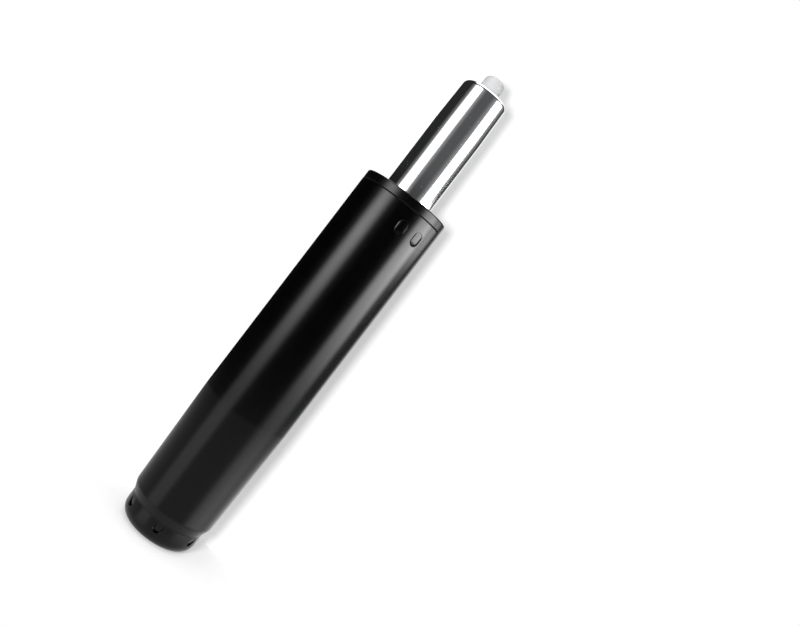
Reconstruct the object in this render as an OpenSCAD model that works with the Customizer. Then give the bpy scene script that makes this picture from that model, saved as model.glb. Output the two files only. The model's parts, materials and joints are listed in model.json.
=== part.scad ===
// Gas lift cylinder of a swivel chair, upright and fully lowered.
// The axis is +Z, the foot of the column stands on z = 0, and the front is -Y.
// All sizes are in millimetres.

/* [Column] */
// Outside diameter of the straight column
column_d = 50; // [46:0.5:60]
// Wall thickness of the column
column_wall = 2; // [1.5:0.1:2.8]
// Height of the steel column, from its foot to its top edge
column_len = 212.8; // [190:0.2:300]
// Height of the neck between the foot and the base taper
neck_h = 5.1; // [5:0.1:12]
// How far the foot is necked in below the base taper
neck_step = 2; // [1:0.1:3]
// Length of the taper that wedges into the chair's base
base_taper_len = 62; // [40:1:75]
// Run of both tapers for each millimetre of diameter
taper_ratio = 20; // [16:1:30]
// Outside radius of the rolled-in bottom edge
foot_corner_r = 6.2; // [3.2:0.1:6.3]
// Diameter of the opening inside the rolled-in lip
foot_hole_d = 25; // [24.5:0.5:29]

/* [Staking tabs] */
// Width of a lanced tab that holds the guide bush
tab_w = 5; // [3:0.1:7]
// Straight length of that tab's sides, between its round ends
tab_side = 2.5; // [1:0.1:6]
// How far the free end of a tab is pressed in
tab_press = 1.6; // [0.8:0.1:2.5]
// Angle between the two tabs of a pair
tab_pair_angle = 25; // [20:1:90]
// Distance from the column's top edge down to the middle of the tabs
tab_drop = 10.5; // [8:0.5:16]
// Number of tabs that hold the base plate
foot_tab_count = 6; // [3:1:10]
// Width of a tab that holds the base plate
foot_tab_w = 4.6; // [2.5:0.1:5]
// Straight length of that tab's sides, between its round ends
foot_tab_side = 0.6; // [0.4:0.1:3]
// Height of the straight foot above the base plate's tabs
foot_land = 0.5; // [0.4:0.1:4]
// Turn of the first base plate tab from the front
foot_tab_turn = -25; // [-60:1:60]
// Width of the sheared gap round a tab
tab_gap = 0.25; // [0.15:0.05:0.5]

/* [Guide bush] */
// Height of the collar on top of the column
collar_h = 5; // [4:0.5:15]
// Length of the bush below the collar
bush_len = 106; // [70:1:120]
// Wall thickness of the bush round its bore
bush_wall = 2.5; // [1.5:0.1:5]
// Height of the solid head below the collar
bush_head_h = 22; // [20:1:40]
// Height of the solid land at the bottom of the bush
bush_land_h = 8; // [4:1:20]
// Number of ribs round the bush
rib_count = 12; // [6:1:20]
// Thickness of a rib
rib_t = 2; // [1.2:0.1:3]

/* [Gas spring] */
// Outside diameter of the pressure tube
tube_d = 28; // [26:0.5:32]
// Wall thickness of the pressure tube
tube_wall = 1.5; // [1:0.1:2]
// Height of the pressure tube above the collar when fully lowered
tube_rise = 69; // [50:1:110]
// Travel of the height adjustment
stroke = 110; // [60:5:130]
// Length of the cone that wedges into the seat mechanism
cone_len = 25; // [20:1:45]
// Outside radius of the tube's rolled-in top edge
tube_corner_r = 3; // [2.2:0.1:4]
// Width of the gas passage between the two tubes
gas_gap = 0.8; // [0.5:0.1:1.5]
// Wall thickness of the inner tube
inner_wall = 1; // [0.6:0.1:1.5]
// Diameter of the piston rod
rod_d = 10; // [9:0.5:13]
// Diameter of the rod's turned-down lower end
stub_d = 8; // [6:0.5:9]
// Height of the piston
piston_h = 14; // [9:0.5:24]
// Height of the rod guide
guide_h = 10; // [8:0.5:20]
// Height of the rod seal
rod_seal_h = 6; // [4:0.5:10]

/* [Release valve] */
// Diameter of the release button
button_d = 11.6; // [9:0.1:13]
// Height of the button above the tube
button_rise = 9.4; // [6:0.1:15]
// Radius of the button's rounded top edge
button_round_r = 3.4; // [0.5:0.1:4.4]
// Travel of the button
button_travel = 4; // [2:0.5:6]
// Diameter of the valve pin
pin_d = 6; // [4:0.5:7]
// Length of the valve body inside the inner tube
spigot_len = 12; // [8:0.5:20]

/* [Thrust bearing] */
// Diameter of a bearing ball
ball_d = 4.76; // [3.9:0.01:5.4]
// Number of bearing balls
ball_count = 9; // [6:1:10]
// Outside diameter of the two races
race_d = 26; // [23:0.5:30]
// Thickness of a race
race_t = 2.5; // [1.5:0.1:5]
// Thickness of the ball cage
cage_t = 2.4; // [1.2:0.1:2.8]
// Outside diameter of the rubber bump stop
bump_d = 24; // [18:0.5:28]
// Height of the rubber bump stop
bump_h = 9; // [6:0.5:20]

/* [Base plate] */
// Thickness of the base plate
plate_t = 5; // [3.5:0.1:8]
// How far the middle of the base plate is dished up
dish_depth = 5.5; // [5:0.1:10]
// Thickness of the washer below the base plate
washer_t = 1.2; // [0.8:0.1:1.6]
// Thickness of the retaining clip
clip_t = 1.2; // [0.8:0.1:1.6]
// Outside diameter of the retaining clip
clip_d = 15; // [11:0.5:18]

/* [Clearances] */
// Radial clearance of a sliding fit
slide_clearance = 0.05; // [0.03:0.01:0.1]
// Radial clearance of a piece that is seated in another
seat_clearance = 0.1; // [0.05:0.01:0.15]
// Gap between pieces that turn or stop against each other
turn_clearance = 0.3; // [0.2:0.05:0.5]
// Clearance of a ball in its grooves
ball_clearance = 0.03; // [0.02:0.01:0.05]

/* [Hidden] */
$fn = 96;

// Colours
coat_black = "#141517";
moulded_black = "#1c1d20";
chrome_grey = "#c9ccd1";
steel_grey = "#8f949b";
zinc_grey = "#a9adb3";
rubber_black = "#232323";
alloy_grey = "#b8bcc0";
nylon_white = "#f2f2ef";

// Column
column_r = column_d / 2;
column_ri = column_r - column_wall;
tab_h = tab_w + tab_side;
foot_tab_h = foot_tab_w + foot_tab_side;
plate_z = column_wall;
rim_top = plate_z + plate_t;
foot_h = rim_top + foot_tab_h + foot_land;
neck_top = foot_h + neck_h;
taper_top = neck_top + base_taper_len;
taper_foot_r = column_r - base_taper_len / taper_ratio / 2;
foot_r = taper_foot_r - neck_step;
foot_ri = foot_r - column_wall;
foot_hole_r = foot_hole_d / 2;
neck_hollow_r = 4;
neck_crown_r = 5;
edge_r = 0.4;
rim_land = 0.6;
// The rolled-in edge is no rounder than the rim of the base plate can follow
rolled_r = min(foot_corner_r, column_wall + plate_t - seat_clearance - rim_land);
tab_z = column_len - tab_drop;
tab_lap = 1;
tab_skin = 0.05;

// Guide bush
bush_z = column_len - bush_len;
collar_top = column_len + collar_h;
collar_r = column_r - seat_clearance;
collar_edge_r = 0.8;
bush_r = column_ri - seat_clearance;
bush_lead = 1;
rib_sink = 0.2;

// Base plate, dished up so that the clip below it stays clear of the floor
plate_r = foot_ri - seat_clearance;
dish_floor = plate_z + dish_depth;
race_seat = rim_top + dish_depth;
race_r = race_d / 2;
dish_margin = 0.6;
dish_top_r = race_r + dish_margin;
dish_flare = 1.6;
stub_r = stub_d / 2;
rod_r = rod_d / 2;
clip_r = clip_d / 2;
washer_margin = 0.8;
washer_r = clip_r + washer_margin;
dish_room = 2;
dish_floor_r = washer_r + dish_room;
clip_groove = 1;
clip_grip = 0.9;
clip_play = 0.05;
stub_tail = 1.6;
stub_chamfer = 0.6;
washer_top = dish_floor - turn_clearance;
washer_z = washer_top - washer_t;
clip_z = washer_z - seat_clearance - clip_t;
stub_end = clip_z - stub_tail;

// Thrust bearing
ball_r = ball_d / 2;
race_bore_r = stub_r + turn_clearance;
ball_pitch_r = (race_bore_r + race_r) / 2;
ball_groove_depth = 0.7;
ball_groove_r = ball_r + ball_clearance;
ball_z = race_seat + race_t - ball_groove_depth + ball_groove_r;
upper_race_z = ball_z + ball_groove_r - ball_groove_depth;
cage_land = 0.9;
shoulder_z = upper_race_z + race_t;
bump_r = bump_d / 2;
bump_top = shoulder_z + bump_h;
bump_waist = 1.2;

// Pressure tube
tube_r = tube_d / 2;
tube_ri = tube_r - tube_wall;
tube_z = bump_top + turn_clearance;
tube_top = collar_top + tube_rise;
cone_z = tube_top - cone_len;
tube_foot_corner_r = 2.5;
rod_room = 2;
tube_foot_hole_r = rod_r + rod_room;
crimp_r = 1.6;
crimp_depth = 0.8;
function tube_inner_r(z) = tube_ri - max(0, z - cone_z) / taper_ratio / 2;

// Rod seal pack at the bottom of the tube
seal_washer_t = 1.5;
seal_washer_z = tube_z + tube_wall;
rod_seal_z = seal_washer_z + seal_washer_t;
guide_z = rod_seal_z + rod_seal_h;
crimp_z = guide_z + guide_h / 2;
crimp_axis_r = tube_r + crimp_r - crimp_depth;
pack_r = tube_ri - seat_clearance;
seat_z = guide_z + guide_h;
seat_base_h = 3;
seat_pilot_h = 3;
seat_slot_w = 2.5;
seat_slot_count = 6;
inner_tube_z = seat_z + seat_base_h;
seat_top = inner_tube_z + seat_pilot_h;

// Inner tube, piston and rod
inner_r = tube_ri - gas_gap;
inner_ri = inner_r - inner_wall;
piston_z = seat_top + stroke + turn_clearance;
piston_top = piston_z + piston_h;
piston_r = inner_ri - seat_clearance;
piston_seal_d = 2.4;
piston_seal_room = 0.2;
rivet_shoulder = 1.5;
rivet_spigot_r = rod_r - rivet_shoulder;
piston_washer_t = 1.5;
piston_washer_margin = 2;
piston_washer_r = rod_r + piston_washer_margin;
rivet_z = piston_top + piston_washer_t;
rivet_lip = 1.2;
rivet_r = rivet_spigot_r + rivet_lip;
rivet_h = 2;
rivet_chamfer = 0.8;

// Valve body, from the cone downwards
body_top = tube_top - tube_wall;
outer_seal_d = 2.2;
valve_step = 3;
outer_seal_z = cone_z - 1.5 * valve_step;
head_z = outer_seal_z - valve_step;
port_r = 1;
port_count = 4;
port_z = head_z - valve_step;
inner_tube_top = port_z - valve_step;
spigot_z = inner_tube_top - spigot_len;
spigot_r = inner_ri - seat_clearance;
inner_seal_d = 1.8;
inner_seal_z = inner_tube_top - spigot_len / 2;
seal_room = 0.2;
valve_waist_r = inner_r - seat_clearance;

// Valve pin and its seals
pin_r = pin_d / 2;
pin_seal_d = 1.9;
pin_seal_axis_r = pin_r + slide_clearance + pin_seal_d / 2;
pin_bore_r = pin_r + slide_clearance;
seal_bore_r = pin_seal_axis_r + pin_seal_d / 2 + slide_clearance;
retainer_h = 3;
lower_pin_seal_z = spigot_z + retainer_h + pin_seal_d / 2 + slide_clearance;
upper_pin_seal_z = outer_seal_z + valve_step;
seal_bore_top = upper_pin_seal_z + pin_seal_d / 2 + slide_clearance;
spacer_z = lower_pin_seal_z + pin_seal_d / 2 + slide_clearance;
spacer_top = upper_pin_seal_z - pin_seal_d / 2 - slide_clearance;
gas_room = 0.5;
spacer_bore_r = pin_r + gas_room;
pin_head_lip = 1.2;
pin_head_r = pin_r + pin_head_lip;
pin_head_h = 2.5;
pin_head_top = spigot_z - turn_clearance;
pin_waist_depth = 0.8;
pin_waist_r = pin_r - pin_waist_depth;
pin_waist_z = spacer_z + turn_clearance;
pin_waist_spare = 2.5;
pin_waist_len = button_travel + pin_waist_spare;

// Release button
button_r = button_d / 2;
button_top = tube_top + button_rise;
button_room = 0.8;
tube_hole_r = button_r + button_room;
flange_lip = 0.7;
flange_r = tube_hole_r + flange_lip;
flange_h = 2.5;
flange_top = body_top - turn_clearance;
flange_z = flange_top - flange_h;
boss_h = 3;
boss_z = flange_z - boss_h;
boss_wall = 1.5;
boss_r = pin_r + boss_wall;
socket_top = flange_top;
cup_room = 0.4;
cup_r = flange_r + cup_room;
cup_z = boss_z - button_travel - turn_clearance;

// Shared shapes

// How far past a corner the cutting triangle of its arc reaches, for each tangent length
arc_reach = 0.3;

function unit(v) = v / norm(v);
function xy(c) = [c[0], c[1]];
function cross_z(a, b) = a[0] * b[1] - a[1] * b[0];
function half_angle(before, corner, after) = acos(unit(before - corner) * unit(after - corner)) / 2;
function arc_tangent(before, corner, after, radius) = radius / tan(half_angle(before, corner, after));

// The two ends of the arc that rounds a corner, or the corner itself where it stays sharp
function arc_ends(before, corner, after, radius) =
    let (tangent = arc_tangent(before, corner, after, radius))
    radius > 0
        ? [corner + unit(before - corner) * tangent, corner + unit(after - corner) * tangent]
        : [corner];

// The segment between the arc that rounds a corner and its chord
module arc_segment(before, corner, after, radius) {
    ends = arc_ends(before, corner, after, radius);
    inward = unit(unit(before - corner) + unit(after - corner));
    tip = corner - inward * norm(ends[0] - corner) * arc_reach;
    intersection() {
        translate(corner + inward * radius / sin(half_angle(before, corner, after)))
            circle(r = radius);
        polygon([ends[0], tip, ends[1]]);
    }
}

// A closed outline, counter-clockwise, whose corners are [x, y, radius]
module rounded_outline(corners) {
    n = len(corners);
    at = [for (c = corners) xy(c)];
    before = [for (i = [0:n - 1]) at[(i + n - 1) % n]];
    after = [for (i = [0:n - 1]) at[(i + 1) % n]];
    radius = [for (c = corners) c[2]];
    turn = [for (i = [0:n - 1]) cross_z(at[i] - before[i], after[i] - at[i])];
    difference() {
        union() {
            polygon([for (i = [0:n - 1]) each arc_ends(before[i], at[i], after[i], radius[i])]);
            for (i = [0:n - 1])
                if (radius[i] > 0 && turn[i] > 0)
                    arc_segment(before[i], at[i], after[i], radius[i]);
        }
        for (i = [0:n - 1])
            if (radius[i] > 0 && turn[i] < 0)
                arc_segment(before[i], at[i], after[i], radius[i]);
    }
}

// A plain round ring
module ring(inner, outer, z, height) {
    rotate_extrude() translate([inner, z]) square([outer - inner, height]);
}

// A round seal ring of circular section
module seal_ring(axis_r, section_d, z) {
    rotate_extrude() translate([axis_r, z]) circle(d = section_d);
}

// An upright slot with round ends
module slot_outline(width, height) {
    square([width, height - width], center = true);
    for (side = [-1, 1]) translate([0, side * (height - width) / 2]) circle(d = width);
}

// The slot as a prism that runs outwards from a radius, at an angle round the axis
module radial_slot(angle, from_r, depth, z, width, height) {
    rotate([0, 0, angle]) translate([from_r, 0, z]) rotate([90, 0, 90])
        linear_extrude(depth) slot_outline(width, height);
}

// The cut round a lanced tab
module tab_cut(angle, outer_r, z, width, height) {
    radial_slot(angle, outer_r - 2 * column_wall, 3 * column_wall, z, width, height);
}

// A lanced tab: it stays joined to the wall at the top, and its lower end is pressed in
module tab_tongue(angle, outer_r, z, width, height) {
    top = z + height / 2;
    foot = z - height / 2;
    wall_r = outer_r - column_wall;
    intersection() {
        rotate_extrude() polygon([
            [outer_r - tab_skin, top + 2 * tab_lap], [wall_r + tab_skin, top + 2 * tab_lap],
            [wall_r + tab_skin, top], [wall_r + tab_skin - tab_press, foot],
            [outer_r - tab_skin - tab_press, foot], [outer_r - tab_skin, top]
        ]);
        radial_slot(angle, outer_r - 3 * column_wall, 4 * column_wall,
            z + (tab_lap + tab_gap) / 2, width - 2 * tab_gap, height + tab_lap - tab_gap);
    }
}

// Angles of the tabs, with a pair at the front and a pair at the back
bush_tab_angles = [for (side = [-90, 90], half = [-0.5, 0.5]) side + half * tab_pair_angle];
foot_tab_angles = [for (i = [0:foot_tab_count - 1]) i * 360 / foot_tab_count - 90 + foot_tab_turn];
foot_tab_z = rim_top + foot_tab_h / 2;

// Column

module outer_column() {
    color(coat_black) {
        difference() {
            rotate_extrude() rounded_outline([
                [foot_hole_r, 0, edge_r],
                [foot_r, 0, rolled_r],
                [foot_r, foot_h, neck_hollow_r],
                [taper_foot_r, neck_top, neck_crown_r],
                [column_r, taper_top, 0],
                [column_r, column_len, edge_r],
                [column_ri, column_len, edge_r],
                [column_ri, taper_top, 0],
                [taper_foot_r - column_wall, neck_top, neck_crown_r - column_wall],
                [foot_ri, foot_h, neck_hollow_r + column_wall],
                [foot_ri, column_wall, rolled_r - column_wall],
                [foot_hole_r, column_wall, edge_r]
            ]);
            for (angle = bush_tab_angles) tab_cut(angle, column_r, tab_z, tab_w, tab_h);
            for (angle = foot_tab_angles)
                tab_cut(angle, foot_r, foot_tab_z, foot_tab_w, foot_tab_h);
        }
        for (angle = bush_tab_angles) tab_tongue(angle, column_r, tab_z, tab_w, tab_h);
        for (angle = foot_tab_angles)
            tab_tongue(angle, foot_r, foot_tab_z, foot_tab_w, foot_tab_h);
    }
}

module guide_bush() {
    bore_r = tube_r + slide_clearance;
    sleeve_r = bore_r + bush_wall;
    land_top = bush_z + bush_land_h;
    head_foot = column_len - bush_head_h;
    groove_r = column_ri - tab_press - turn_clearance;
    groove_foot = tab_z - tab_h / 2;
    groove_top = tab_z + tab_h / 2 + tab_lap;
    color(moulded_black) {
        rotate_extrude() rounded_outline([
            [bore_r + bush_lead, bush_z, 0],
            [bush_r, bush_z, edge_r],
            [bush_r, land_top, 0],
            [sleeve_r, land_top, 0],
            [sleeve_r, head_foot, 0],
            [bush_r, head_foot, 0],
            [bush_r, groove_foot, 0],
            [groove_r, groove_foot, 0],
            [groove_r, groove_top, 0],
            [bush_r, groove_top, 0],
            [bush_r, column_len, 0],
            [collar_r, column_len, 0],
            [collar_r, collar_top, collar_edge_r],
            [bore_r + bush_lead, collar_top, 0],
            [bore_r, collar_top - bush_lead, 0],
            [bore_r, bush_z + bush_lead, 0]
        ]);
        intersection() {
            ring(sleeve_r - rib_sink, bush_r - rib_sink,
                land_top - rib_sink, head_foot - land_top + 2 * rib_sink);
            for (i = [0:rib_count - 1])
                rotate([0, 0, i * 360 / rib_count])
                    translate([0, -rib_t / 2, land_top - rib_sink])
                        cube([column_r, rib_t, head_foot - land_top + 2 * rib_sink]);
        }
    }
}

module base_plate() {
    hole_r = stub_r + turn_clearance;
    corner_r = rolled_r - column_wall + seat_clearance;
    bend_r = 1;
    color(coat_black) rotate_extrude() rounded_outline([
        [hole_r, dish_floor, 0],
        [dish_floor_r, dish_floor, bend_r],
        [dish_floor_r + dish_flare, plate_z, bend_r],
        [plate_r, plate_z, corner_r],
        [plate_r, rim_top, edge_r],
        [dish_top_r + dish_flare, rim_top, bend_r],
        [dish_top_r, race_seat, bend_r],
        [hole_r, race_seat, edge_r]
    ]);
}

// Thrust bearing

// A race from z upwards, with its ball groove open towards the balls
module race(z, bore_r) {
    color(steel_grey) rotate_extrude() difference() {
        rounded_outline([
            [bore_r, z, edge_r], [race_r, z, edge_r],
            [race_r, z + race_t, edge_r], [bore_r, z + race_t, edge_r]
        ]);
        translate([ball_pitch_r, ball_z]) circle(r = ball_groove_r);
    }
}

module lower_race() { race(race_seat, race_bore_r); }

module upper_race() { race(upper_race_z, stub_r + slide_clearance); }

// Places its children at every ball
module at_each_ball() {
    for (i = [0:ball_count - 1])
        rotate([0, 0, i * 360 / ball_count]) translate([ball_pitch_r, 0, ball_z]) children();
}

module bearing_balls() {
    color(chrome_grey) at_each_ball() sphere(r = ball_r);
}

module ball_cage() {
    pocket_r = ball_r + seat_clearance;
    color(nylon_white) difference() {
        ring(ball_pitch_r - ball_r - cage_land, ball_pitch_r + ball_r + cage_land,
            ball_z - cage_t / 2, cage_t);
        at_each_ball() cylinder(r = pocket_r, h = 2 * cage_t, center = true);
    }
}

// Rod and piston

module piston_rod() {
    groove_r = stub_r - clip_groove;
    groove_foot = clip_z - clip_play;
    groove_top = clip_z + clip_t + clip_play;
    color(chrome_grey) rotate_extrude() polygon([
        [0, stub_end], [stub_r - stub_chamfer, stub_end], [stub_r, stub_end + stub_chamfer],
        [stub_r, groove_foot], [groove_r, groove_foot], [groove_r, groove_top],
        [stub_r, groove_top], [stub_r, shoulder_z], [rod_r, shoulder_z],
        [rod_r, piston_z], [rivet_spigot_r, piston_z], [rivet_spigot_r, rivet_z],
        [rivet_r, rivet_z], [rivet_r, rivet_z + rivet_h - rivet_chamfer],
        [rivet_r - rivet_chamfer, rivet_z + rivet_h], [0, rivet_z + rivet_h]
    ]);
}

module retaining_washer() {
    color(zinc_grey) ring(stub_r + seat_clearance, washer_r, washer_z, washer_t);
}

// A horseshoe clip that snaps into the rod's groove from the side
module retaining_clip() {
    bore_r = stub_r - clip_groove + clip_play;
    mouth_w = 2 * bore_r * clip_grip;
    color(steel_grey) translate([0, 0, clip_z]) linear_extrude(clip_t) difference() {
        circle(r = clip_r);
        circle(r = bore_r);
        translate([-mouth_w / 2, -2 * clip_r]) square([mouth_w, 2 * clip_r]);
    }
}

// A rubber ring with a drawn-in waist
module bump_stop() {
    bore_r = rod_r + seat_clearance;
    waist_r = bump_r - bump_waist;
    color(rubber_black) rotate_extrude() rounded_outline([
        [bore_r, shoulder_z, 0],
        [bump_r, shoulder_z, bump_waist],
        [bump_r, shoulder_z + bump_h / 3, bump_waist / 2],
        [waist_r, shoulder_z + bump_h / 2, bump_waist],
        [bump_r, shoulder_z + 2 * bump_h / 3, bump_waist / 2],
        [bump_r, bump_top, bump_waist],
        [bore_r, bump_top, bump_waist / 2]
    ]);
}

module piston() {
    bore_r = rivet_spigot_r + slide_clearance;
    groove_r = piston_r - piston_seal_d;
    groove_foot = piston_z + (piston_h - piston_seal_d) / 2 - piston_seal_room;
    groove_top = piston_z + (piston_h + piston_seal_d) / 2 + piston_seal_room;
    color(alloy_grey) rotate_extrude() rounded_outline([
        [bore_r, piston_z, 0],
        [piston_r, piston_z, edge_r],
        [piston_r, groove_foot, 0],
        [groove_r, groove_foot, 0],
        [groove_r, groove_top, 0],
        [piston_r, groove_top, 0],
        [piston_r, piston_top, edge_r],
        [bore_r, piston_top, 0]
    ]);
}

module piston_seal() {
    color(rubber_black)
        seal_ring(inner_ri - slide_clearance - piston_seal_d / 2, piston_seal_d,
            piston_z + piston_h / 2);
}

module piston_washer() {
    color(zinc_grey)
        ring(rivet_spigot_r + slide_clearance, piston_washer_r, piston_top, piston_washer_t);
}

// Pressure tube

module pressure_tube() {
    top_r = tube_r - cone_len / taper_ratio / 2;
    body_r = tube_inner_r(body_top);
    color(chrome_grey) rotate_extrude() difference() {
        union() {
            rounded_outline([
                [tube_foot_hole_r, tube_z, 0],
                [tube_r, tube_z, tube_foot_corner_r],
                [tube_r, cone_z, 0],
                [top_r, tube_top, tube_corner_r],
                [tube_hole_r, tube_top, edge_r],
                [tube_hole_r, body_top, 0],
                [body_r, body_top, tube_corner_r - tube_wall],
                [tube_ri, cone_z, 0],
                [tube_ri, tube_z + tube_wall, tube_foot_corner_r - tube_wall],
                [tube_foot_hole_r, tube_z + tube_wall, 0]
            ]);
            intersection() {
                translate([crimp_axis_r, crimp_z]) circle(r = crimp_r + tube_wall);
                translate([0, guide_z]) square([tube_r - tube_wall / 2, guide_h]);
            }
        }
        translate([crimp_axis_r, crimp_z]) circle(r = crimp_r);
    }
}

module inner_tube() {
    color(steel_grey) ring(inner_ri, inner_r, inner_tube_z, inner_tube_top - inner_tube_z);
}

// The ring that centres the inner tube, with slots that let the gas pass below it
module tube_seat() {
    bore_r = rod_r + rod_room / 2;
    pilot_r = inner_ri - seat_clearance;
    pilot_wall = 1.8;
    color(alloy_grey) difference() {
        rotate_extrude() polygon([
            [bore_r, seat_z], [pack_r, seat_z], [pack_r, inner_tube_z],
            [pilot_r, inner_tube_z], [pilot_r, seat_top], [pilot_r - pilot_wall, seat_top],
            [pilot_r - pilot_wall, inner_tube_z], [bore_r, inner_tube_z]
        ]);
        for (i = [0:seat_slot_count - 1])
            rotate([0, 0, i * 360 / seat_slot_count])
                translate([pilot_r - 2 * pilot_wall, -seat_slot_w / 2, seat_z + seat_base_h / 2])
                    cube([tube_r, seat_slot_w, seat_base_h]);
    }
}

module rod_guide() {
    bore_r = rod_r + slide_clearance;
    color(alloy_grey) rotate_extrude() difference() {
        translate([bore_r, guide_z]) square([pack_r - bore_r, guide_h]);
        translate([crimp_axis_r, crimp_z])
            circle(r = crimp_r + tube_wall + seat_clearance);
    }
}

// A lip seal whose groove opens towards the gas
module rod_seal() {
    bore_r = rod_r + slide_clearance;
    top = rod_seal_z + rod_seal_h;
    middle_r = (bore_r + pack_r) / 2;
    lip_groove = rod_seal_h / 2;
    color(rubber_black) rotate_extrude() polygon([
        [bore_r, rod_seal_z], [pack_r, rod_seal_z], [pack_r, top],
        [middle_r + lip_groove / 2, top], [middle_r, top - lip_groove],
        [middle_r - lip_groove / 2, top], [bore_r, top]
    ]);
}

module seal_washer() {
    corner_r = tube_foot_corner_r - tube_wall + seat_clearance;
    color(zinc_grey) rotate_extrude() rounded_outline([
        [rod_r + seat_clearance, seal_washer_z, 0],
        [pack_r, seal_washer_z, corner_r],
        [pack_r, rod_seal_z, 0],
        [rod_r + seat_clearance, rod_seal_z, 0]
    ]);
}

// Release valve

module valve_body() {
    top_r = tube_inner_r(body_top) - seat_clearance;
    outer_groove_r = pack_r - outer_seal_d;
    outer_foot = outer_seal_z - outer_seal_d / 2 - seal_room;
    outer_top = outer_seal_z + outer_seal_d / 2 + seal_room;
    inner_groove_r = spigot_r - inner_seal_d;
    inner_foot = inner_seal_z - inner_seal_d / 2 - seal_room;
    inner_top = inner_seal_z + inner_seal_d / 2 + seal_room;
    color(alloy_grey) difference() {
        rotate_extrude() rounded_outline([
            [seal_bore_r, spigot_z, 0],
            [spigot_r, spigot_z, edge_r],
            [spigot_r, inner_foot, 0],
            [inner_groove_r, inner_foot, 0],
            [inner_groove_r, inner_top, 0],
            [spigot_r, inner_top, 0],
            [spigot_r, inner_tube_top, 0],
            [valve_waist_r, inner_tube_top, 0],
            [valve_waist_r, head_z, 0],
            [pack_r, head_z, 0],
            [pack_r, outer_foot, 0],
            [outer_groove_r, outer_foot, 0],
            [outer_groove_r, outer_top, 0],
            [pack_r, outer_top, 0],
            [pack_r, cone_z, 0],
            [top_r, body_top, tube_corner_r - tube_wall + seat_clearance],
            [cup_r, body_top, 0],
            [cup_r, cup_z, edge_r],
            [pin_bore_r, cup_z, 0],
            [pin_bore_r, seal_bore_top, 0],
            [seal_bore_r, seal_bore_top, 0]
        ]);
        for (i = [0:port_count - 1])
            rotate([0, 90, i * 360 / port_count])
                translate([-port_z, 0, pin_r]) cylinder(r = port_r, h = tube_r);
    }
}

module valve_outer_seal() {
    color(rubber_black)
        seal_ring(tube_ri - slide_clearance - outer_seal_d / 2, outer_seal_d, outer_seal_z);
}

module valve_inner_seal() {
    color(rubber_black)
        seal_ring(inner_ri - slide_clearance - inner_seal_d / 2, inner_seal_d, inner_seal_z);
}

module upper_pin_seal() {
    color(rubber_black) seal_ring(pin_seal_axis_r, pin_seal_d, upper_pin_seal_z);
}

module lower_pin_seal() {
    color(rubber_black) seal_ring(pin_seal_axis_r, pin_seal_d, lower_pin_seal_z);
}

// The sleeve that keeps the two pin seals apart, cross-drilled in line with the ports
module valve_spacer() {
    color(alloy_grey) difference() {
        ring(spacer_bore_r, seal_bore_r - slide_clearance, spacer_z, spacer_top - spacer_z);
        for (i = [0:port_count - 1])
            rotate([0, 90, i * 360 / port_count])
                translate([-port_z, 0, 0]) cylinder(r = port_r, h = tube_r);
    }
}

module valve_retainer() {
    color(steel_grey) ring(spacer_bore_r, seal_bore_r - slide_clearance, spigot_z, retainer_h);
}

module valve_pin() {
    head_chamfer = 0.6;
    head_foot = pin_head_top - pin_head_h;
    waist_top = pin_waist_z + pin_waist_len;
    color(chrome_grey) rotate_extrude() polygon([
        [0, head_foot], [pin_head_r - head_chamfer, head_foot],
        [pin_head_r, head_foot + head_chamfer], [pin_head_r, pin_head_top],
        [pin_r, pin_head_top], [pin_r, pin_waist_z],
        [pin_waist_r, pin_waist_z + pin_r - pin_waist_r],
        [pin_waist_r, waist_top - pin_r + pin_waist_r], [pin_r, waist_top],
        [pin_r, socket_top - slide_clearance], [0, socket_top - slide_clearance]
    ]);
}

module release_button() {
    socket_r = pin_r + slide_clearance;
    color(nylon_white) rotate_extrude() rounded_outline([
        [socket_r, boss_z, 0],
        [boss_r, boss_z, edge_r],
        [boss_r, flange_z, 0],
        [flange_r, flange_z, edge_r],
        [flange_r, flange_top, edge_r],
        [button_r, flange_top, edge_r],
        [button_r, button_top, button_round_r],
        [0, button_top, 0],
        [0, socket_top, 0],
        [socket_r, socket_top, 0]
    ]);
}

outer_column();
guide_bush();
base_plate();
lower_race();
ball_cage();
bearing_balls();
piston_rod();
upper_race();
bump_stop();
retaining_washer();
retaining_clip();
piston();
piston_seal();
piston_washer();
pressure_tube();
inner_tube();
tube_seat();
rod_guide();
rod_seal();
seal_washer();
valve_body();
valve_outer_seal();
valve_inner_seal();
upper_pin_seal();
lower_pin_seal();
valve_spacer();
valve_retainer();
release_button();
valve_pin();
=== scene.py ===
# Looks of a chair gas lift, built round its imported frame
import json
import math
import bmesh
import bpy
from mathutils import Matrix, Vector


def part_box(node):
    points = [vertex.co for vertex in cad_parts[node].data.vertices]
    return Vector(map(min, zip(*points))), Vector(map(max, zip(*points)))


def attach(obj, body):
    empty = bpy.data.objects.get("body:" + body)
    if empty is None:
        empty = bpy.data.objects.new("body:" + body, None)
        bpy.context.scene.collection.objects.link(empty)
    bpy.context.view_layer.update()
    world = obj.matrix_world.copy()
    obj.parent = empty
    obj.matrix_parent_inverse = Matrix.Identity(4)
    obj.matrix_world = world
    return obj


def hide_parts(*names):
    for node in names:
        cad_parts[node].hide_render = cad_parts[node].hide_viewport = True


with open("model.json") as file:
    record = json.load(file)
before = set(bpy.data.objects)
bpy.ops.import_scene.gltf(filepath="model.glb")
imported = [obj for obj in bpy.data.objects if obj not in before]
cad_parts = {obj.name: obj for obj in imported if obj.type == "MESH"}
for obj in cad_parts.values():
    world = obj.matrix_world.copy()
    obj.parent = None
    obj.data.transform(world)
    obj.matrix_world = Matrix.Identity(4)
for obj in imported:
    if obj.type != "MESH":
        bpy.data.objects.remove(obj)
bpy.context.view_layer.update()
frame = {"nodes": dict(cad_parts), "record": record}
mm = 0.001
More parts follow.
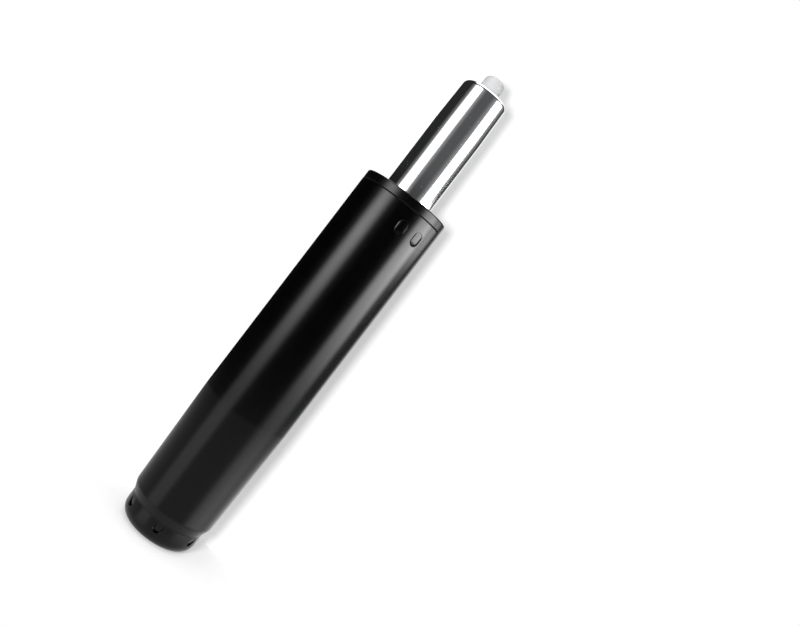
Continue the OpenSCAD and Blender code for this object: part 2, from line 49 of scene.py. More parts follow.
hair = 1e-6  # less than any size here
scene = bpy.context.scene
scene.view_settings.view_transform = "Standard"
print("frame loaded, nodes:", len(frame["nodes"]))


# Shader tools

class Wire:  # a node's output, with the sums that can be done on it
    def __init__(self, finish, socket):
        self.finish = finish
        self.socket = socket

    def maths(self, operation, *values):
        return self.finish.add("ShaderNodeMath", {"operation": operation}, dict(enumerate(values)))

    def __add__(self, other):
        return self.maths("ADD", self, other)

    def __radd__(self, other):
        return self.maths("ADD", other, self)

    def __sub__(self, other):
        return self.maths("SUBTRACT", self, other)

    def __rsub__(self, other):
        return self.maths("SUBTRACT", other, self)

    def __mul__(self, other):
        return self.maths("MULTIPLY", self, other)

    def __rmul__(self, other):
        return self.maths("MULTIPLY", other, self)


class Finish:  # one node tree, filled node by node
    def __init__(self, tree):
        self.tree = tree
        tree.nodes.clear()

    def add(self, kind, settings=None, sockets=None, out=0):
        node = self.tree.nodes.new(kind)
        for key, value in (settings or {}).items():
            setattr(node, key, value)
        for key, value in (sockets or {}).items():
            if isinstance(value, Wire):
                self.tree.links.new(value.socket, node.inputs[key])
            else:
                node.inputs[key].default_value = value
        return Wire(self, node.outputs[out]) if node.outputs else None

    def place(self):
        return self.add("ShaderNodeTexCoord", out="Object")

    def noise(self, place, scale, detail, roughness=0.5):
        sockets = {"Vector": place, "Scale": scale, "Detail": detail, "Roughness": roughness}
        return self.add("ShaderNodeTexNoise", {}, sockets)

    def mix(self, share, first, second):
        return self.add("ShaderNodeMix", {"data_type": "RGBA"}, {0: share, 6: first, 7: second}, out=2)

    def spread(self, value, low, high, toLow=0.0, toHigh=1.0):
        settings = {"interpolation_type": "SMOOTHSTEP"}
        sockets = {"Value": value, "From Min": low, "From Max": high, "To Min": toLow, "To Max": toHigh}
        return self.add("ShaderNodeMapRange", settings, sockets)

    def measure(self, operation, *vectors):
        sockets = dict(enumerate(vectors))
        return self.add("ShaderNodeVectorMath", {"operation": operation}, sockets, out="Value")

    def along(self, place, axis):
        return self.measure("DOT_PRODUCT", place, axis)

    def turnedPlace(self, lengthways, around):
        # radius, height and a little of the turn, so that noise runs in rings as a lathe leaves them
        place = self.place()
        flat = self.add("ShaderNodeVectorMath", {"operation": "MULTIPLY"}, {0: place, 1: (1, 1, 0)})
        return self.add("ShaderNodeCombineXYZ", {}, {
            "X": self.measure("LENGTH", flat) * lengthways,
            "Y": self.along(place, (0, 0, 1)) * lengthways,
            "Z": self.along(place, (1, 0, 0)) * around,
        })

    def bump(self, height, distance):
        return self.add("ShaderNodeBump", {}, {"Height": height, "Distance": distance, "Strength": 1.0})

    def surface(self, sockets):
        shader = self.add("ShaderNodeBsdfPrincipled", {}, sockets)
        self.add("ShaderNodeOutputMaterial", {}, {"Surface": shader})


def newFinish(name):
    material = bpy.data.materials.new(name)
    material.use_nodes = True
    return material, Finish(material.node_tree)


# Finishes, one for each of the record's slots; a noise is its scale, its detail and its roughness

def grainedFinish(name, look):
    material, finish = newFinish(name)
    place = finish.place()
    grain = finish.noise(place, *look["grain"])
    cloud = finish.noise(place, *look["cloud"])
    roughness = look["roughness"] + (grain - 0.5) * look["grainRough"]
    if "cloudRough" in look:
        roughness = roughness + (cloud - 0.5) * look["cloudRough"]
    finish.surface({
        "Base Color": finish.mix(cloud, *look["tones"]),
        "Roughness": roughness,
        "Normal": finish.bump(grain, look["relief"]),
        **look["fixed"],
    })
    return material


coatLook = {
    "tones": ((0.0004, 0.0004, 0.0005, 1), (0.0011, 0.0011, 0.0013, 1)),
    "roughness": 0.18, "grainRough": 0.08, "cloudRough": 0.06,
    "grain": (1700, 3), "cloud": (55, 4, 0.6), "relief": 0.006 * mm,
    "fixed": {"IOR": 1.5, "Specular IOR Level": 0.21},
}
bushLook = {
    "tones": ((0.0008, 0.0008, 0.0009, 1), (0.0018, 0.0018, 0.0020, 1)),
    "roughness": 0.22, "grainRough": 0.12,
    "grain": (2600, 2), "cloud": (90, 3), "relief": 0.008 * mm,
    "fixed": {"IOR": 1.5, "Specular IOR Level": 0.21},
}
zincLook = {
    "tones": ((0.66, 0.67, 0.68, 1), (0.50, 0.54, 0.60, 1)),
    "roughness": 0.34, "grainRough": 0.22,
    "grain": (520, 4, 0.7), "cloud": (130, 3), "relief": 0.004 * mm,
    "fixed": {"Metallic": 1.0},
}
rubberLook = {
    "tones": ((0.012, 0.012, 0.012, 1), (0.030, 0.030, 0.031, 1)),
    "roughness": 0.62, "grainRough": 0.15,
    "grain": (1900, 3), "cloud": (140, 4), "relief": 0.010 * mm,
    "fixed": {},
}
nylonLook = {
    "tones": ((0.84, 0.845, 0.85, 1), (0.77, 0.78, 0.79, 1)),
    "roughness": 0.46, "grainRough": 0.10,
    "grain": (1500, 3), "cloud": (260, 4), "relief": 0.006 * mm,
    "fixed": {"Specular IOR Level": 0.25, "Subsurface Weight": 0.25, "Subsurface Scale": 1.0,
              "Subsurface Radius": (0.004, 0.004, 0.004)},
}

chromeLook = {
    "tones": ((0.80, 0.81, 0.82, 1), (0.70, 0.71, 0.73, 1)),
    "roughness": 0.075, "lineRough": 0.05, "smearRough": 0.05,
    "lines": (1.0, 3), "pitch": (9000, 60), "smear": (70, 5, 0.6), "relief": 0.0003 * mm,
}


def tubeChrome():
    look = chromeLook
    material, finish = newFinish("tubeChrome")
    lines = finish.noise(finish.turnedPlace(*look["pitch"]), *look["lines"])
    smear = finish.noise(finish.place(), *look["smear"])
    uneven = (lines - 0.5) * look["lineRough"] + (smear - 0.5) * look["smearRough"]
    finish.surface({
        "Base Color": finish.mix(smear, *look["tones"]),
        "Metallic": 1.0,
        "Roughness": look["roughness"] + uneven,
        "Normal": finish.bump(lines, look["relief"]),
    })
    return material


steelLook = {
    "tones": ((0.56, 0.57, 0.58, 1), (0.36, 0.37, 0.39, 1)),
    "roughness": 0.26, "pitch": (5200, 40), "relief": 0.004 * mm,
}
alloyLook = {
    "tones": ((0.78, 0.79, 0.80, 1), (0.60, 0.61, 0.63, 1)),
    "roughness": 0.30, "pitch": (3600, 40), "relief": 0.006 * mm,
}
turnedLook = {"rings": (1.0, 4, 0.65), "ringRough": 0.18, "cloud": (160, 4), "cloudRough": 0.10}  # of both


def turnedMetal(name, look):
    material, finish = newFinish(name)
    rings = finish.noise(finish.turnedPlace(*look["pitch"]), *turnedLook["rings"])
    cloud = finish.noise(finish.place(), *turnedLook["cloud"])
    uneven = (rings - 0.5) * turnedLook["ringRough"] + (cloud - 0.5) * turnedLook["cloudRough"]
    finish.surface({
        "Base Color": finish.mix(rings, *look["tones"]),
        "Metallic": 1.0,
        "Roughness": look["roughness"] + uneven,
        "Normal": finish.bump(rings, look["relief"]),
    })
    return material


finishes = {
    "column_coat": grainedFinish("columnCoat", coatLook),
    "bush_plastic": grainedFinish("bushPlastic", bushLook),
    "tube_chrome": tubeChrome(),
    "steel": turnedMetal("turnedSteel", steelLook),
    "zinc": grainedFinish("zincPlate", zincLook),
    "alloy": turnedMetal("turnedAlloy", alloyLook),
    "rubber": grainedFinish("sealRubber", rubberLook),
    "nylon": grainedFinish("whiteNylon", nylonLook),
}
print("finishes made:", len(finishes))


# Mesh tools, in millimetres

class Skin:  # gathers points, their true normals and faces, and makes the mesh
    def __init__(self):
        self.points = []
        self.normals = []
        self.faces = []

    def point(self, place, normal):
        self.points.append(Vector(place) * mm)
        self.normals.append(Vector(normal).normalized())
        return len(self.points) - 1

    def ring(self, row, sides):
        radius, z, out, up = row
        if radius < hair:
            return [self.point((0, 0, z), (0, 0, up))]
        turns = [math.tau * i / sides for i in range(sides)]
        return [self.point((radius * math.cos(a), radius * math.sin(a), z),
                           (out * math.cos(a), out * math.sin(a), up)) for a in turns]

    def band(self, first, second, skip=()):
        # quads between two closed loops, or a fan where one of them is a single point
        count = max(len(first), len(second))
        for i in range(count):
            if i in skip:
                continue
            j = (i + 1) % count
            corners = [loop[k % len(loop)] for loop, k in ((first, i), (first, j), (second, j), (second, i))]
            self.faces.append(list(dict.fromkeys(corners)))

    def chain(self, loops):
        for first, second in zip(loops, loops[1:]):
            self.band(first, second)

    def turned(self, profile, sides, closed=True):
        loops = [self.ring(row, sides) for row in profile]
        self.chain(loops + loops[:1] if closed else loops)

    def piece(self, name, node, slot):
        mesh = bpy.data.meshes.new(name)
        mesh.from_pydata(self.points, [], self.faces)
        mesh.shade_smooth()
        mesh.normals_split_custom_set_from_vertices(self.normals)
        dress(bpy.data.objects.new(name, mesh), node, slot)


def dress(piece, node, slot):
    scene.collection.objects.link(piece)
    piece.data.materials.append(finishes[slot])
    body = next(b for b, nodes in frame["record"]["behaviour"]["bodies"].items() if node in nodes)
    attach(piece, body)
    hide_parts(node)
    print("piece made:", piece.name, "on", body)


def roundedProfile(corners, step=11.0, closed=True):
    # an outline of (radius, z, rounding) corners, counter-clockwise, as rows of (radius, z, normal out,
    # normal up), with a row for every few degrees of a rounding
    rows = []
    count = len(corners)
    for i, (radius, z, rounding) in enumerate(corners):
        here = Vector((radius, z))
        into = (here - Vector(corners[i - 1][:2])).normalized()
        away = (Vector(corners[(i + 1) % count][:2]) - here).normalized()
        if not closed and i in (0, count - 1):
            run = away if i == 0 else into
            rows.append((radius, z, run.y, -run.x))
            continue
        angle = math.atan2(into.x * away.y - into.y * away.x, into.dot(away))
        side = 1 if angle > 0 else -1
        start = here - into * rounding * math.tan(abs(angle) / 2)
        centre = start + Vector((-into.y, into.x)) * rounding * side
        parts = max(2, math.ceil(abs(math.degrees(angle)) / step))
        for k in range(parts + 1):
            turn = angle * k / parts
            run = Vector((into.x * math.cos(turn) - into.y * math.sin(turn),
                          into.x * math.sin(turn) + into.y * math.cos(turn)))
            at = centre + Vector((run.y, -run.x)) * rounding * side
            rows.append((at.x, at.y, run.y, -run.x))
    return rows


def withRows(rows, levels):
    # the same outline with a row at each of the levels that its straight stretches cross
    full = []
    for first, second in zip(rows, rows[1:] + rows[:1]):
        full.append(first)
        low, high = sorted((first[1], second[1]))
        between = [z for z in levels if low + hair < z < high - hair]
        for z in sorted(between, reverse=first[1] > second[1]):
            share = (z - first[1]) / (second[1] - first[1])
            full.append(tuple(a + (b - a) * share for a, b in zip(first, second)))
    return full


def nodeBox(node):
    low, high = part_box(node)
    return low / mm, high / mm


def nodeRadius(node):
    # the reach that the node's faceted box has on every side
    low, high = nodeBox(node)
    return min(-low.x, -low.y, high.x, high.y)


# Column, with its lanced tabs

columnSize = {
    "wall": 2.0, "footHole": 25.0, "footHeight": 12.7, "neckHeight": 5.1, "neckStep": 2.0,
    "taperLength": 62.0, "taperRatio": 20.0, "taperRound": 40.0, "footCorner": 6.2, "hollow": 4.0,
    "crown": 5.0, "edge": 0.4, "topEdge": 0.5, "bendStep": 7.5, "sides": 360,
}
topTab = {
    "width": 5.0, "height": 7.5, "drop": 10.5, "press": 0.5, "bend": 14.0, "slope": 0.03, "gap": 0.15,
    "lap": 1.0, "sink": 0.18, "edge": 0.65, "reach": 4.6, "turns": (-102.5, -77.5, 77.5, 102.5),
}
footTab = {
    "width": 4.6, "height": 5.2, "rise": 9.6, "press": 0.6, "bend": 2.0, "slope": 0.07, "gap": 0.25,
    "lap": 0.6, "sink": 0.10, "edge": 0.45, "reach": 3.6, "turns": (-115, -55, 5, 65, 125, 185),
}
tabMesh = {
    "margin": 0.45, "rows": 6, "rim": (0.4, 0.75, 1.0), "sharper": 0.75,
    "edgeTurns": (22.5, 45, 67.5, 90), "backTurns": (90, 45, 0), "rays": 56, "slopeStep": 0.05,
    "face": (0.02, 0.3, 0.55, 0.75, 0.85, 0.92, 0.96, 1.0), "back": (0.5, 0.02),
}


def slotPoint(x, y, half, straight):
    # where a line from the middle of an upright slot meets its edge, and the edge's normal
    length = math.hypot(x, y)
    x, y = x / length, y / length
    if abs(x) > hair and abs(y) * half / abs(x) <= straight:
        return (math.copysign(half, x), y * half / abs(x)), (math.copysign(1, x), 0)
    middle = math.copysign(straight, y)
    reach = y * middle + math.sqrt((y * middle) ** 2 - middle ** 2 + half ** 2)
    at = (x * reach, y * reach)
    return at, (at[0] / half, (at[1] - middle) / half)


class WallPatch:  # places points on the column's wall by arc length and height round the middle of a tab
    def __init__(self, skin, rows, turn, z, radius):
        self.skin = skin
        self.rows = rows
        self.turn = math.radians(turn)
        self.z = z
        self.radius = radius

    def wall(self, z):
        for first, second in zip(self.rows, self.rows[1:]):
            if first[1] <= z <= second[1]:
                share = (z - first[1]) / max(second[1] - first[1], hair)
                return [a + (b - a) * share for a, b in zip(first, second)]
        return self.rows[-1]

    def put(self, at, depth, normal):
        # normal is (along the wall, up, out of the wall)
        radius, z, out, up = self.wall(self.z + at[1])
        angle = self.turn + at[0] / self.radius
        outward = Vector((math.cos(angle), math.sin(angle), 0))
        sideways = Vector((-math.sin(angle), math.cos(angle), 0))
        upward = Vector((0, 0, 1))
        place = outward * (radius - depth) + upward * z
        facing = sideways * normal[0] + upward * (normal[1] + up * normal[2]) + outward * normal[2] * out
        return self.skin.point(place, facing)


def windowRim(columns, levels):
    # grid places round a block of the wall, counter-clockwise from its lower left corner
    rim = [(c, levels[0]) for c in columns[:-1]]
    rim += [(columns[-1], i) for i in levels[:-1]]
    rim += [(c, levels[-1]) for c in columns[:0:-1]]
    rim += [(columns[0], i) for i in levels[:0:-1]]
    return rim


def windowLoops(patch, rim, tab, wall):
    # from the rim on the outside of the wall, round the window's edges, to the inside of the wall
    half = tab["width"] / 2
    straight = (tab["height"] - tab["width"]) / 2
    upward = [max(0, slotPoint(x, y, half, straight)[1][1]) for x, y in rim]
    edges = [tab["edge"] * (1 - tabMesh["sharper"] * share) for share in upward]  # sharper on top
    spots = [slotPoint(x, y, half + e, straight)[0] for (x, y), e in zip(rim, edges)]

    def wallLoop(share, depth, sense):
        return [patch.put((x + (s[0] - x) * share, y + (s[1] - y) * share), depth, (0, 0, sense))
                for (x, y), s in zip(rim, spots)]

    def edgeLoop(turn, sense):
        loop = []
        for (x, y), e in zip(rim, edges):
            sunk = e * (1 - math.cos(turn))
            at, n = slotPoint(x, y, half + e * (1 - math.sin(turn)), straight)
            facing = (-n[0] * math.sin(turn), -n[1] * math.sin(turn), sense * math.cos(turn))
            loop.append(patch.put(at, sunk if sense > 0 else wall - sunk, facing))
        return loop

    loops = [wallLoop(share, 0, 1) for share in tabMesh["rim"]]
    loops += [edgeLoop(math.radians(turn), 1) for turn in tabMesh["edgeTurns"]]
    loops += [edgeLoop(math.radians(turn), -1) for turn in tabMesh["backTurns"]]
    loops += [wallLoop(share, wall, -1) for share in tabMesh["rim"][-2::-1]]
    return loops


def tongueLoops(patch, tab, wall):
    # a lanced tab, joined to the wall at its top and pressed in at its foot
    half = tab["width"] / 2 - tab["gap"]
    straight = (tab["height"] + tab["lap"] - tab["gap"]) / 2 - half
    middle = (tab["lap"] + tab["gap"]) / 2
    edge = tab["edge"] / 2
    thick = wall - 2 * tab["sink"]
    step = tabMesh["slopeStep"]
    turns = [math.tau * i / tabMesh["rays"] for i in range(tabMesh["rays"])]
    rays = [(math.sin(a), -math.cos(a)) for a in turns]

    def sunk(y):
        share = min(max(0.5 - y / tab["height"], 0), 1)
        return tab["sink"] + tab["slope"] * tab["height"] * share + tab["press"] * share ** tab["bend"]

    def loop(share, inset, depth, turn, sense):
        made = []
        for x, y in rays:
            at, n = slotPoint(x, y, half - inset, straight)
            at = (at[0] * share, at[1] * share + middle)
            lean = math.cos(turn) * sense
            slope = (sunk(at[1] - step) - sunk(at[1] + step)) / (2 * step)
            facing = (n[0] * math.sin(turn), n[1] * math.sin(turn) - slope * lean, lean)
            made.append(patch.put(at, sunk(at[1]) + depth, facing))
        return made

    def edgeLoop(turn, sense):
        depth = edge * (1 - math.cos(turn))
        return loop(1, edge * (1 - math.sin(turn)), depth if sense > 0 else thick - depth, turn, sense)

    loops = [loop(share, edge, 0, 0, 1) for share in tabMesh["face"]]
    loops += [edgeLoop(math.radians(turn), 1) for turn in tabMesh["edgeTurns"]]
    loops += [edgeLoop(math.radians(turn), -1) for turn in tabMesh["backTurns"]]
    loops += [loop(share, edge, thick, 0, -1) for share in tabMesh["back"]]
    return loops


def columnPiece():
    size = columnSize
    radius, top = nodeRadius("outer_column"), nodeBox("outer_column")[1].z
    wall, edge, sides, taperRound = size["wall"], size["edge"], size["sides"], size["taperRound"]
    neckTop = size["footHeight"] + size["neckHeight"]
    taperTop = neckTop + size["taperLength"]
    taperFoot = radius - size["taperLength"] / size["taperRatio"] / 2
    foot = taperFoot - size["neckStep"]
    hole = size["footHole"] / 2
    corners = [
        (hole, 0, edge), (foot, 0, size["footCorner"]), (foot, size["footHeight"], size["hollow"]),
        (taperFoot, neckTop, size["crown"]), (radius, taperTop, taperRound), (radius, top, size["topEdge"]),
        (radius - wall, top, edge), (radius - wall, taperTop, taperRound),
        (taperFoot - wall, neckTop, size["crown"] - wall),
        (foot - wall, size["footHeight"], size["hollow"] + wall),
        (foot - wall, wall, size["footCorner"] - wall), (hole, wall, edge),
    ]
    tabs = [
        dict(topTab, z=top - topTab["drop"], radius=radius),
        dict(footTab, z=footTab["rise"], radius=foot),
    ]
    levels = []
    for tab in tabs:  # each takes a block of the wall
        tab["half"] = tab["height"] / 2 + tab["edge"] + tabMesh["margin"]
        steps = tabMesh["rows"]
        levels += [tab["z"] + tab["half"] * (i / steps - 1) for i in range(2 * steps + 1)]
    rows = withRows(roundedProfile(corners, size["bendStep"]), levels)
    crest = max(range(len(rows)), key=lambda i: rows[i][1])
    skin = Skin()
    loops = [skin.ring(row, sides) for row in rows]
    cut = {}
    for tab in tabs:
        low, high = tab["z"] - tab["half"] - hair, tab["z"] + tab["half"] + hair
        inside = [i for i, row in enumerate(rows) if low <= row[1] <= high]
        climbs = [i for i in inside if i < crest and rows[i][2] > 0]
        falls = [i for i in inside if i > crest and rows[i][2] < 0]
        spread = math.degrees(tab["reach"] / tab["radius"])
        for turn in tab["turns"]:
            first = math.floor((turn - spread) / 360 * sides)
            last = math.ceil((turn + spread) / 360 * sides)
            columns = list(range(first, last + 1))
            for i in climbs[:-1] + falls[:-1]:
                cut.setdefault(i, set()).update(c % sides for c in columns[:-1])
            rims = [windowRim(columns, climbs), windowRim(columns, falls[::-1])]
            ends = [[loops[i][c % sides] for c, i in rim] for rim in rims]
            around = [(math.radians(c * 360 / sides - turn) * tab["radius"], rows[i][1] - tab["z"])
                      for c, i in rims[0]]
            patch = WallPatch(skin, rows[:crest + 1], turn, tab["z"], tab["radius"])
            skin.chain(ends[:1] + windowLoops(patch, around, tab, wall) + ends[1:])
            tongue = tongueLoops(patch, tab, wall)
            skin.chain(tongue[::-1])
            skin.faces += [tongue[0], tongue[-1][::-1]]
    for i, loop in enumerate(loops):
        skin.band(loop, loops[(i + 1) % len(loops)], cut.get(i, ()))
    skin.piece("columnShell", "outer_column", "column_coat")


columnPiece()


# Guide bush, of which the collar shows

bushSize = {
    "bore": 14.05, "collarHeight": 5.0, "collarEdge": 0.8, "collarFoot": 0.45, "headHeight": 22.0,
    "landHeight": 8.0, "wall": 2.5, "lead": 1.0, "fit": 22.9, "footEdge": 0.4, "groove": 21.1,
    "grooveDrop": (14.25, 5.75), "ribs": 12, "ribWidth": 2.0, "ribLap": 0.2, "edge": 0.12, "sides": 300,
}


def addRib(skin, turn, inside, outside, low, high):
    spin = Matrix.Rotation(turn, 3, "Z")
    half = bushSize["ribWidth"] / 2
    corners = [(inside, -half), (outside, -half), (outside, half), (inside, half)]
    for start, end in zip(corners, corners[1:] + corners[:1]):
        across = Vector((end[0] - start[0], end[1] - start[1], 0))
        facing = spin @ across.cross(Vector((0, 0, 1)))
        quad = [(*start, low), (*end, low), (*end, high), (*start, high)]
        skin.faces.append([skin.point(spin @ Vector(place), facing) for place in quad])


def bushPiece():
    size = bushSize
    low, high = nodeBox("guide_bush")
    radius = nodeRadius("guide_bush")
    columnTop = high.z - size["collarHeight"]
    edge, bore, fit, lead, lap = size["edge"], size["bore"], size["fit"], size["lead"], size["ribLap"]
    sleeve = bore + size["wall"]
    landTop, headFoot = low.z + size["landHeight"], columnTop - size["headHeight"]
    grooveFoot, grooveTop = (columnTop - drop for drop in size["grooveDrop"])
    corners = [
        (bore + lead, low.z, edge), (fit, low.z, size["footEdge"]), (fit, landTop, edge),
        (sleeve, landTop, edge), (sleeve, headFoot, edge), (fit, headFoot, edge), (fit, grooveFoot, edge),
        (size["groove"], grooveFoot, edge), (size["groove"], grooveTop, edge), (fit, grooveTop, edge),
        (fit, columnTop, edge), (radius, columnTop, size["collarFoot"]),
        (radius, high.z, size["collarEdge"]), (bore + lead, high.z, edge),
        (bore, high.z - lead, edge), (bore, low.z + lead, edge),
    ]
    skin = Skin()
    skin.turned(roundedProfile(corners), size["sides"])
    for i in range(size["ribs"]):
        addRib(skin, math.tau * i / size["ribs"], sleeve - lap, fit - lap, landTop - lap, headFoot + lap)
    skin.piece("guideBush", "guide_bush", "bush_plastic")


bushPiece()


# Pressure tube, with its seat cone and rolled-in ends

tubeSize = {
    "wall": 1.5, "coneLength": 25.0, "taperRatio": 20.0, "coneRound": 60.0, "topCorner": 3.0, "topHole": 6.6,
    "footCorner": 2.5, "footHole": 7.0, "crimpRise": 14.0, "crimp": (1.386, 2.4, 1.6),
    "bead": (2.08, 1.88, 3.1), "edge": 0.3, "bendStep": 6.0, "sides": 300,
}


def tubePiece():
    size = tubeSize
    low, high = nodeBox("pressure_tube")
    radius, wall = nodeRadius("pressure_tube"), size["wall"]
    bore = radius - wall
    edge, coneRound = size["edge"], size["coneRound"]
    coneFoot = high.z - size["coneLength"]
    draft = 1 / size["taperRatio"] / 2
    topRadius = radius - size["coneLength"] * draft
    crimpMiddle = low.z + size["crimpRise"]
    crimpHalf, crimpDeep, crimpRound = size["crimp"]
    beadHalf, beadDeep, beadRound = size["bead"]  # the crimp's inside
    corners = [
        (size["footHole"], low.z, edge), (radius, low.z, size["footCorner"]),
        (radius, crimpMiddle - crimpHalf, edge), (radius - crimpDeep, crimpMiddle, crimpRound),
        (radius, crimpMiddle + crimpHalf, edge), (radius, coneFoot, coneRound),
        (topRadius, high.z, size["topCorner"]), (size["topHole"], high.z, edge),
        (size["topHole"], high.z - wall, edge),
        (topRadius - wall + wall * draft, high.z - wall, size["topCorner"] - wall),
        (bore, coneFoot, coneRound), (bore, crimpMiddle + beadHalf, edge),
        (bore - beadDeep, crimpMiddle, beadRound),
        (bore, crimpMiddle - beadHalf, edge), (bore, low.z + wall, size["footCorner"] - wall),
        (size["footHole"], low.z + wall, edge),
    ]
    skin = Skin()
    skin.turned(roundedProfile(corners, size["bendStep"]), size["sides"])
    skin.piece("chromeTube", "pressure_tube", "tube_chrome")


tubePiece()


# Release button

buttonSize = {
    "across": 11.6, "crown": 3.4, "flangeDrop": 11.2, "flangeHeight": 2.5, "boss": 4.5, "socket": 3.05,
    "edge": 0.3, "bendStep": 6.0, "sides": 160,
}


def buttonPiece():
    size = buttonSize
    low, high = nodeBox("release_button")
    flange, radius, edge = nodeRadius("release_button"), size["across"] / 2, size["edge"]
    flangeTop = high.z - size["flangeDrop"]
    flangeFoot = flangeTop - size["flangeHeight"]
    corners = [  # from the socket's ceiling, round the outside, to the top of the crown
        (0, flangeTop, 0), (size["socket"], flangeTop, edge), (size["socket"], low.z, edge),
        (size["boss"], low.z, edge), (size["boss"], flangeFoot, edge), (flange, flangeFoot, edge),
        (flange, flangeTop, edge), (radius, flangeTop, edge), (radius, high.z, size["crown"]),
        (0, high.z, 0),
    ]
    skin = Skin()
    skin.turned(roundedProfile(corners, size["bendStep"], closed=False), size["sides"], closed=False)
    skin.piece("releaseButton", "release_button", "nylon")


buttonPiece()


# Foot: base plate, washer, clip and rod

plateSize = {
    "hole": 4.3, "floor": 10.3, "flare": 1.6, "crest": 13.6, "thick": 5.0, "dish": 5.5, "bend": 1.0,
    "corner": 4.3, "edge": 0.4, "sides": 240,
}


def platePiece():
    size = plateSize
    low = nodeBox("base_plate")[0].z
    radius, edge, bend = nodeRadius("base_plate"), size["edge"], size["bend"]
    dishFloor, rim = low + size["dish"], low + size["thick"]
    corners = [
        (size["hole"], dishFloor, edge), (size["floor"], dishFloor, bend),
        (size["floor"] + size["flare"], low, bend), (radius, low, size["corner"]), (radius, rim, edge),
        (size["crest"] + size["flare"], rim, bend), (size["crest"], rim + size["dish"], bend),
        (size["hole"], rim + size["dish"], edge),
    ]
    skin = Skin()
    skin.turned(roundedProfile(corners), size["sides"])
    skin.piece("basePlate", "base_plate", "column_coat")


platePiece()

washerSize = {"hole": 4.1, "edge": 0.22, "sides": 160}


def washerPiece():
    low, high = nodeBox("retaining_washer")
    radius, hole, edge = nodeRadius("retaining_washer"), washerSize["hole"], washerSize["edge"]
    corners = [(hole, low.z, edge), (radius, low.z, edge), (radius, high.z, edge), (hole, high.z, edge)]
    skin = Skin()
    skin.turned(roundedProfile(corners), washerSize["sides"])
    skin.piece("retainingWasher", "retaining_washer", "zinc")


washerPiece()

clipSize = {"bore": 3.05, "grip": 0.9, "steps": 72, "edge": 0.16, "edgeSteps": 3, "sharp": 40}


def clipPiece():
    size = clipSize
    low, high = nodeBox("retaining_clip")
    bore, steps = size["bore"], size["steps"]
    mouth = bore * size["grip"]
    outline = []
    for radius, sense in ((nodeRadius("retaining_clip"), 1), (bore, -1)):  # out one way and back the other
        start = math.asin(mouth / radius)
        around = [start + (math.tau - 2 * start) * i / steps for i in range(steps + 1)]
        outline += [(radius, angle) for angle in around[::sense]]
    mesh = bpy.data.meshes.new("retainingClip")
    shape = bmesh.new()
    # angles run from the mouth, which opens to the front
    corners = [shape.verts.new(Vector((r * math.sin(a), -r * math.cos(a), low.z)) * mm) for r, a in outline]
    face = shape.faces.new(corners)
    raised = bmesh.ops.extrude_face_region(shape, geom=[face])["geom"]
    upper = [part for part in raised if isinstance(part, bmesh.types.BMVert)]
    bmesh.ops.translate(shape, vec=(0, 0, (high.z - low.z) * mm), verts=upper)
    bmesh.ops.recalc_face_normals(shape, faces=shape.faces)
    sharp = [e for e in shape.edges if e.calc_face_angle(0) > math.radians(size["sharp"])]
    bmesh.ops.bevel(shape, geom=sharp, offset=size["edge"] * mm, segments=size["edgeSteps"], profile=0.5,
                    affect="EDGES")
    shape.to_mesh(mesh)
    mesh.shade_smooth()
    piece = bpy.data.objects.new("retainingClip", mesh)
    dress(piece, "retaining_clip", "steel")
    even = piece.modifiers.new("evenShade", "WEIGHTED_NORMAL")
    even.keep_sharp = True


clipPiece()

rodSize = {
    "stub": 4.0, "chamfer": 0.6, "groove": 3.0, "grooveRise": (1.55, 2.85), "shoulderRise": 17.82,
    "spigotDrop": 17.5, "spigot": 3.5, "rivet": 4.7, "rivetDrop": 2.0, "rivetChamfer": 0.8, "edge": 0.1,
    "bendStep": 20.0, "sides": 144,
}


def rodPiece():
    size = rodSize
    low, high = nodeBox("piston_rod")
    foot, top, edge = low.z, high.z, size["edge"]
    radius, stub, groove = nodeRadius("piston_rod"), size["stub"], size["groove"]
    spigot, rivet, rivetChamfer = size["spigot"], size["rivet"], size["rivetChamfer"]
    grooveFoot, grooveTop = (foot + rise for rise in size["grooveRise"])
    shoulder = foot + size["shoulderRise"]
    spigotFoot, rivetFoot = top - size["spigotDrop"], top - size["rivetDrop"]
    corners = [
        (0, foot, 0), (stub - size["chamfer"], foot, edge), (stub, foot + size["chamfer"], edge),
        (stub, grooveFoot, edge), (groove, grooveFoot, edge), (groove, grooveTop, edge),
        (stub, grooveTop, edge), (stub, shoulder, edge), (radius, shoulder, edge),
        (radius, spigotFoot, edge), (spigot, spigotFoot, edge), (spigot, rivetFoot, edge),
        (rivet, rivetFoot, edge), (rivet, top - rivetChamfer, edge), (rivet - rivetChamfer, top, edge),
        (0, top, 0),
    ]
    skin = Skin()
    skin.turned(roundedProfile(corners, size["bendStep"], closed=False), size["sides"], closed=False)
    skin.piece("pistonRod", "piston_rod", "tube_chrome")


rodPiece()


# The sealed inner pieces keep their shapes and get their finishes

slots = {row["node"]: row["material_slot"] for row in frame["record"]["subparts"]}
for node, part in frame["nodes"].items():
    part.data.materials.clear()
    part.data.materials.append(finishes[slots[node]])
print("inner pieces finished:", sum(not part.hide_render for part in frame["nodes"].values()))


# Camera

shot = {
    "turn": -28.0, "lean": 37.37, "height": 168.1, "distance": 440.4, "aim": 2.5,
    "lens": 37.78, "sensor": 36.0, "shift": (0.0270, -0.0206), "nearest": 10,
}
turn, lean, aim = (math.radians(shot[key]) for key in ("turn", "lean", "aim"))
right = Vector((math.cos(turn), math.sin(turn), 0))
ahead = Vector((-math.sin(turn), math.cos(turn), 0))
up = Vector((0, 0, 1))
camera = bpy.data.objects.new("camera", bpy.data.cameras.new("camera"))
camera.data.lens = shot["lens"]
camera.data.sensor_width = shot["sensor"]
camera.data.shift_x, camera.data.shift_y = shot["shift"]
camera.data.clip_start = shot["nearest"] * mm
scene.collection.objects.link(camera)
